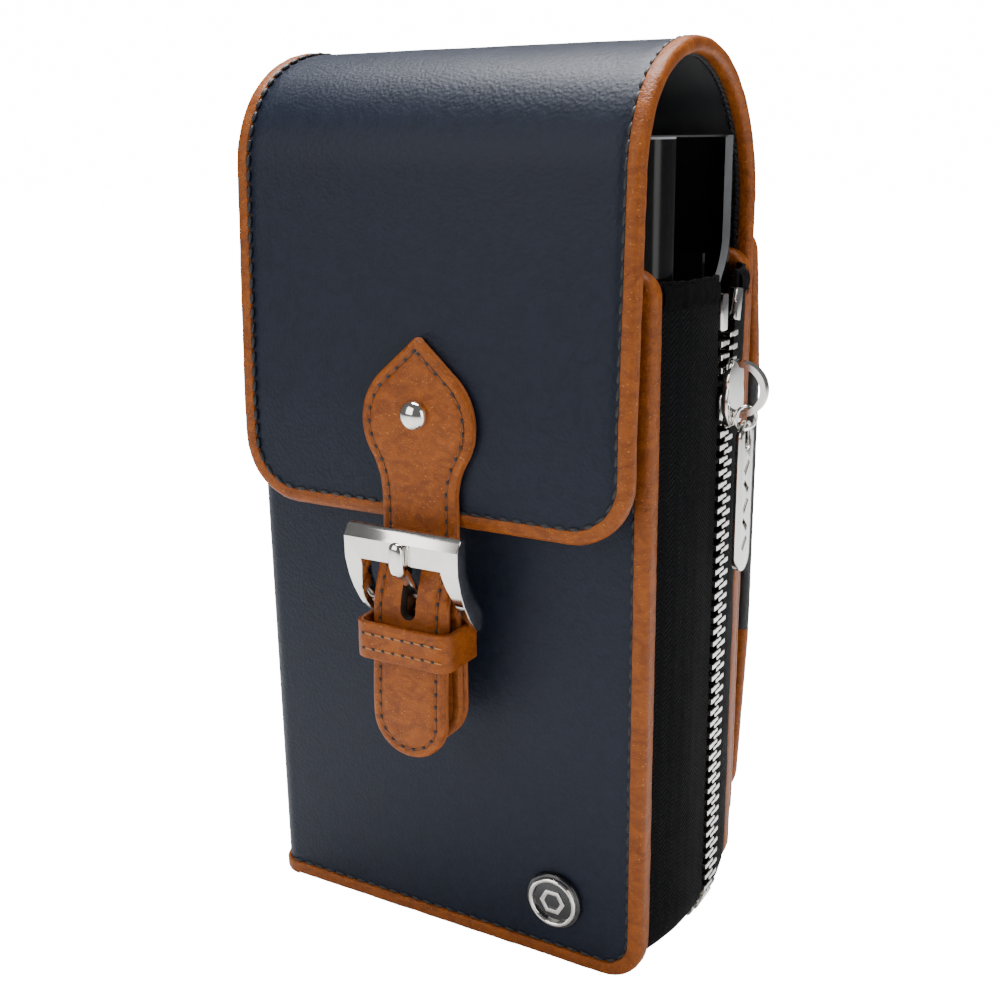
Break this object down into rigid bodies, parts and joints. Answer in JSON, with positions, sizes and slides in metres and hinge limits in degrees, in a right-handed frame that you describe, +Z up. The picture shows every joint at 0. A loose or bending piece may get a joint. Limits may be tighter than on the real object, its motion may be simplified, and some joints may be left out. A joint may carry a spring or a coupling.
{
  "type": "phone wallet case",
  "caption": "Upright navy leather belt pouch with tan edge binding, buckled strap flap, side zip and a smoked clear inner tray.",
  "frame": {"origin": "on the ground, under the middle of the body between the front and rear panels", "axes": "+Z up, -Y is the front with the flap and buckle, +X is the side with the zip"},
  "size_m": [0.1065, 0.0801, 0.1844],
  "materials": {
    "navy_leather": "pebbled semi-gloss",
    "tan_leather": "burnished semi-gloss",
    "stiffener_board": "matte",
    "black_lining": "ribbed",
    "zip_tape": "herringbone",
    "smoked_plastic": "translucent, slightly frosted",
    "black_enamel": "gloss",
    "nickel": "polished nickel"
  },
  "bodies": {
    "case": {"back_skin": "navy_leather", "back_board": "stiffener_board", "back_lining": "black_lining", "back_binding": "tan_leather", "spine_rear": "navy_leather", "gusset_rear": "navy_leather", "flap_back_skin": "navy_leather", "flap_back_lining": "black_lining", "flap_back_binding": "tan_leather", "belt_panel": "navy_leather", "belt_panel_lining": "black_lining", "belt_panel_binding": "tan_leather", "tunnel_edging": "black_lining", "belt_pad_upper": "navy_leather", "belt_pad_lower": "navy_leather", "zip_tape_rear": "zip_tape", "zip_teeth_rear": "nickel", "top_stop_rear": "nickel", "bottom_stop": "nickel"},
    "front_cover": {"front_skin": "navy_leather", "front_board": "stiffener_board", "front_lining": "black_lining", "front_binding": "tan_leather", "spine_front": "navy_leather", "gusset_front": "navy_leather", "zip_tape_front": "zip_tape", "zip_teeth_front": "nickel", "top_stop_front": "nickel", "badge_disc": "black_enamel", "badge_ring": "nickel", "badge_motif": "nickel", "snap_stud": "nickel"},
    "flap": {"flap_skin": "navy_leather", "flap_lining": "black_lining", "flap_binding": "tan_leather", "billet_upper": "tan_leather", "rivet_cap": "nickel", "rivet_back": "nickel"},
    "strap_end": {"billet_lower": "tan_leather", "chape": "tan_leather", "keeper": "tan_leather", "snap_cap": "nickel", "snap_socket": "nickel"},
    "buckle": {"buckle_frame": "nickel"},
    "prong": {"buckle_prong": "nickel"},
    "tray": {"tray_shell": "smoked_plastic", "tray_partition": "smoked_plastic", "tray_rim": "smoked_plastic"},
    "slider": {"slider_body": "nickel", "slider_bridge": "nickel"},
    "link": {"link_ring": "nickel"},
    "tab": {"pull_tab": "nickel"}
  },
  "joints": [
    {"name": "flap_open", "type": "hinge", "parent": "case", "child": "flap", "pos_m": [0, 0.0279, 0.1534], "axis": [-1, 0, 0], "range_deg": [0, 110]},
    {"name": "cover_open", "type": "hinge", "parent": "case", "child": "front_cover", "pos_m": [-0.048, 0, 0.07], "axis": [0, 0, -1], "range_deg": [0, 25]},
    {"name": "tray_lift", "type": "slide", "parent": "case", "child": "tray", "axis": [0, 0, 1], "range_m": [0, 0.04]},
    {"name": "strap_swing", "type": "hinge", "parent": "flap", "child": "strap_end", "pos_m": [0, -0.0346, 0.0945], "axis": [-1, 0, 0], "range_deg": [0, 60]},
    {"name": "buckle_tilt", "type": "hinge", "parent": "strap_end", "child": "buckle", "pos_m": [0, -0.0338, 0.078], "axis": [1, 0, 0], "range_deg": [0, 18]},
    {"name": "prong_turn", "type": "hinge", "parent": "buckle", "child": "prong", "pos_m": [0, -0.0338, 0.078], "axis": [1, 0, 0], "range_deg": [0, 20]},
    {"name": "slider_run", "type": "slide", "parent": "case", "child": "slider", "axis": [0, 0, -1], "range_m": [0, 0.078]},
    {"name": "ring_swing", "type": "hinge", "parent": "slider", "child": "link", "pos_m": [0.0534, 0, 0.1153], "axis": [1, 0, 0], "range_deg": [-15, 15]},
    {"name": "tab_swing", "type": "hinge", "parent": "link", "child": "tab", "pos_m": [0.0534, 0, 0.11225], "axis": [-0.7071, -0.7071, 0], "range_deg": [-4, 40]}
  ],
  "couplings": [
    {"joint": "cover_open", "follows": "flap_open", "ratio": 0.2},
    {"joint": "tray_lift", "follows": "flap_open", "m_per_rad": 0.02}
  ]
}
